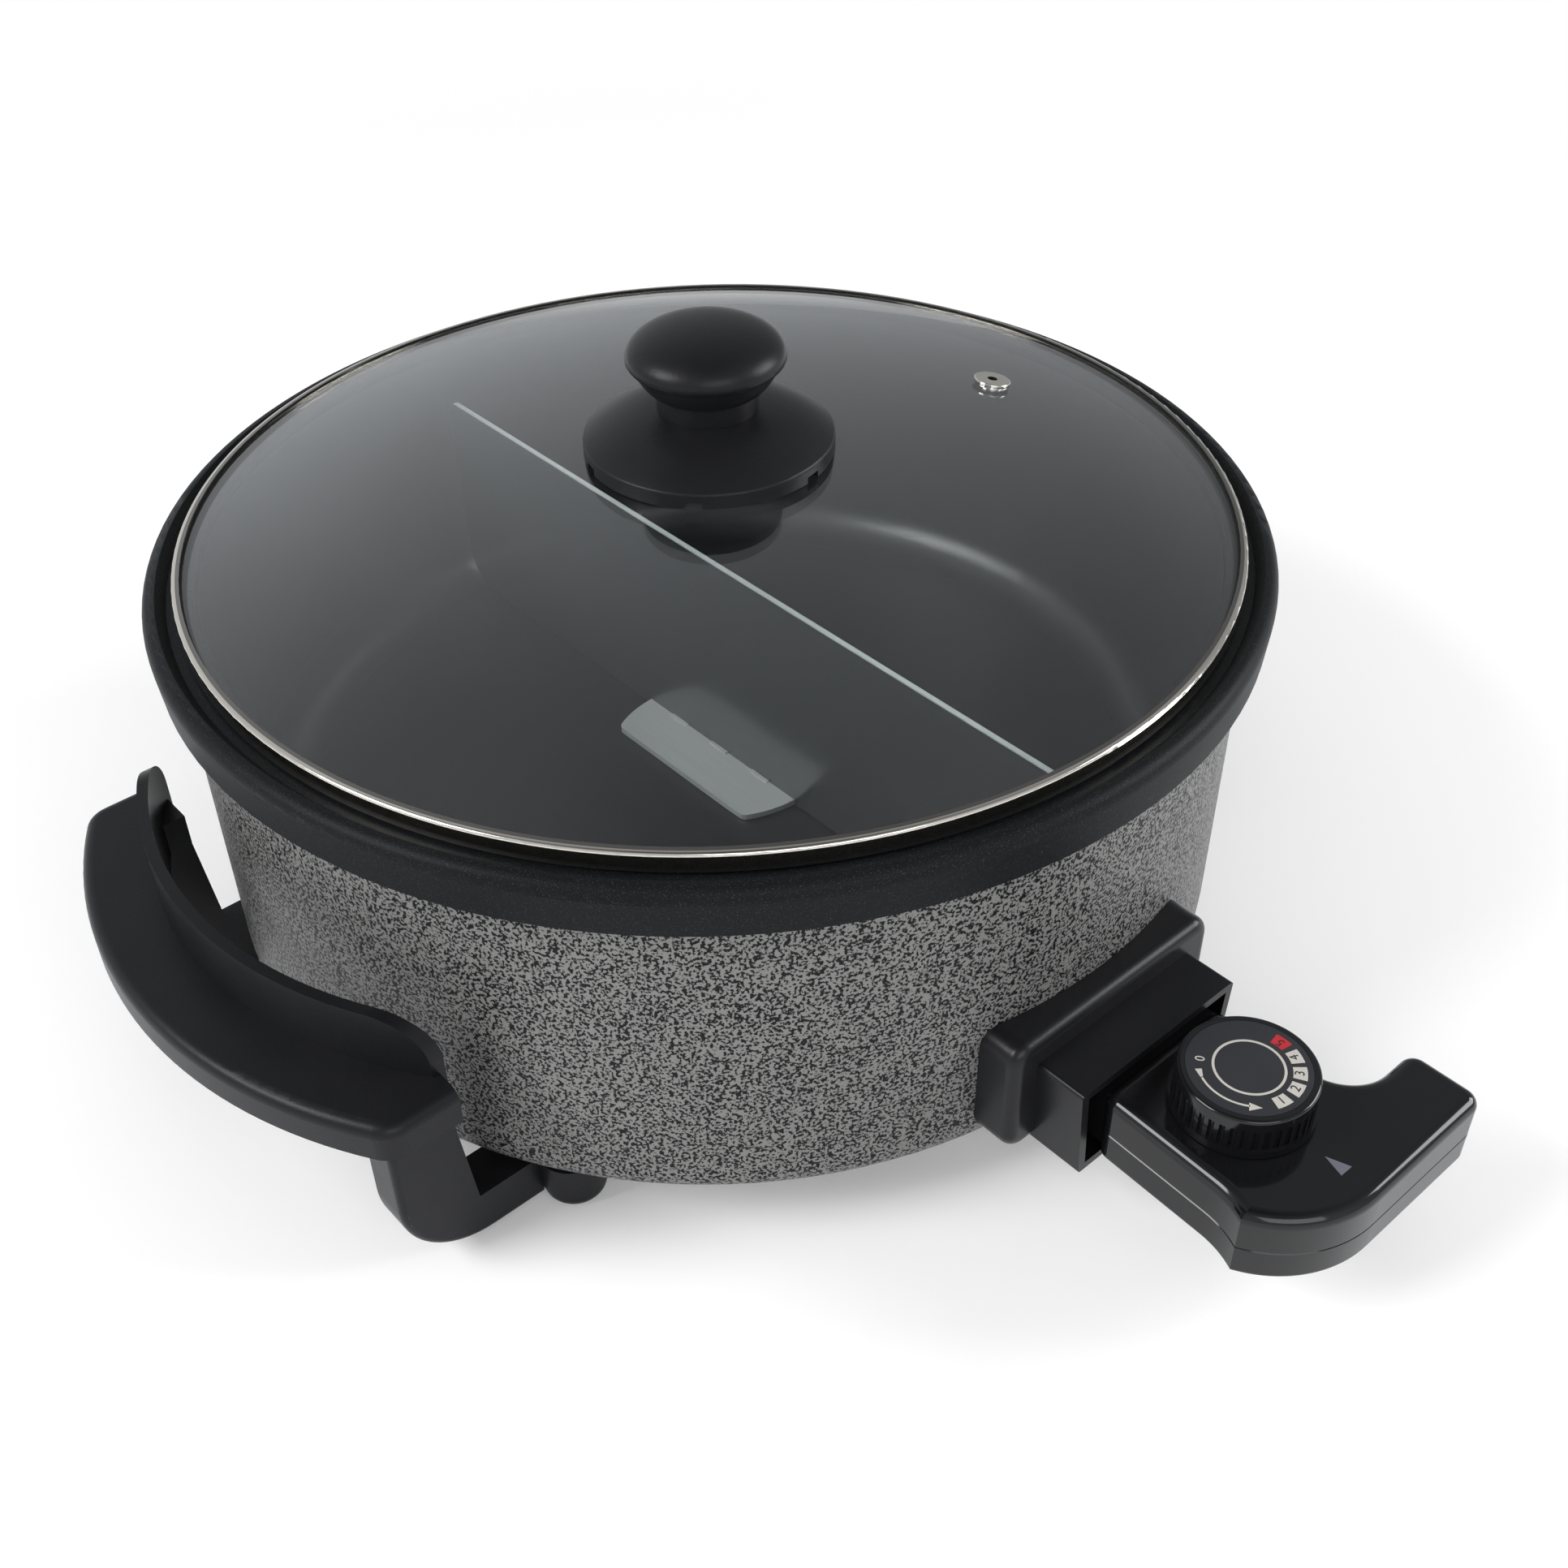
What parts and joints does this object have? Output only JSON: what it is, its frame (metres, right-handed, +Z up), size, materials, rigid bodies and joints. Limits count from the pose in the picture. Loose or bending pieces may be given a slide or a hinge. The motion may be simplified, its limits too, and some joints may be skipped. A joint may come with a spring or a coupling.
{
  "type": "electric grill pan",
  "caption": "Round electric grill pan with a lift-off glass lid, a loose divider, handles that stand on the table as legs, and a plug-in thermostat control with a turning dial.",
  "frame": {"origin": "On the table, on the pan's vertical axis.", "axes": "+Z is up. The socket and the control face -Y, and the handles are on -X and +X."},
  "size_m": [0.4032, 0.4141, 0.1967],
  "materials": {
    "nonstick_coat": "satin black non-stick coat on cast aluminium",
    "hammered_paint": "hammered grey and black baked paint on pressed steel",
    "handle_resin": "satin black heat-resistant moulding resin",
    "socket_plastic": "semi-gloss black moulded plastic",
    "control_plastic": "polished black moulded plastic",
    "dial_print": "polished black with a pale printed scale",
    "band_steel": "polished stainless steel with a warm tone",
    "lid_glass": "clear tempered glass with a faint green tint",
    "bare_aluminium": "satin bare aluminium",
    "zinc_steel": "zinc-plated steel",
    "nickel_plate": "nickel plate",
    "sheath_steel": "dull sheathed steel",
    "ceramic": "unglazed white ceramic",
    "black_rubber": "matte black silicone rubber",
    "switch_resin": "brown moulded switch resin"
  },
  "bodies": {
    "pan": {"cooking_pan": "nonstick_coat", "heater_plate": "nonstick_coat", "pan_rim": "nonstick_coat", "outer_casing": "hammered_paint", "heating_element": "sheath_steel", "terminal_pins": "nickel_plate", "terminal_insulators": "ceramic", "probe_guide": "sheath_steel", "socket_backing_plate": "zinc_steel", "earth_prong": "nickel_plate", "socket_housing": "socket_plastic", "socket_screws": "zinc_steel", "left_handle": "handle_resin", "right_handle": "handle_resin", "round_feet": "handle_resin", "foot_screws": "zinc_steel"},
    "lid": {"lid_glass": "lid_glass", "lid_band": "band_steel", "vent_eyelet": "band_steel", "knob_gasket": "black_rubber", "knob_washer": "band_steel", "knob_guard": "handle_resin", "lid_knob": "handle_resin", "knob_screw": "zinc_steel"},
    "divider": {"divider_plate": "nonstick_coat", "divider_foot": "bare_aluminium"},
    "control": {"control_top_housing": "control_plastic", "control_bottom_housing": "control_plastic", "control_screws": "zinc_steel", "thermostat_switch": "switch_resin", "probe_rod": "nickel_plate", "contact_sleeves": "nickel_plate", "earth_clip": "nickel_plate", "cord_bush": "black_rubber"},
    "dial": {"dial": "control_plastic", "dial_face": "dial_print", "dial_shaft": "zinc_steel"}
  },
  "joints": [
    {"name": "lid_lift", "type": "slide", "parent": "pan", "child": "lid", "axis": [0, 0, 1], "range_m": [0, 0.26]},
    {"name": "divider_lift", "type": "slide", "parent": "pan", "child": "divider", "axis": [0, 0, 1], "range_m": [0, 0.13]},
    {"name": "control_pull", "type": "slide", "parent": "pan", "child": "control", "axis": [0, -1, 0], "range_m": [0, 0.125]},
    {"name": "dial_turn", "type": "hinge", "parent": "control", "child": "dial", "pos_m": [0.001, -0.2081, 0.0574], "axis": [0, 0, 1], "range_deg": [-88, 147]}
  ],
  "couplings": [
    {"joint": "divider_lift", "follows": "lid_lift", "ratio": 0.5}
  ]
}
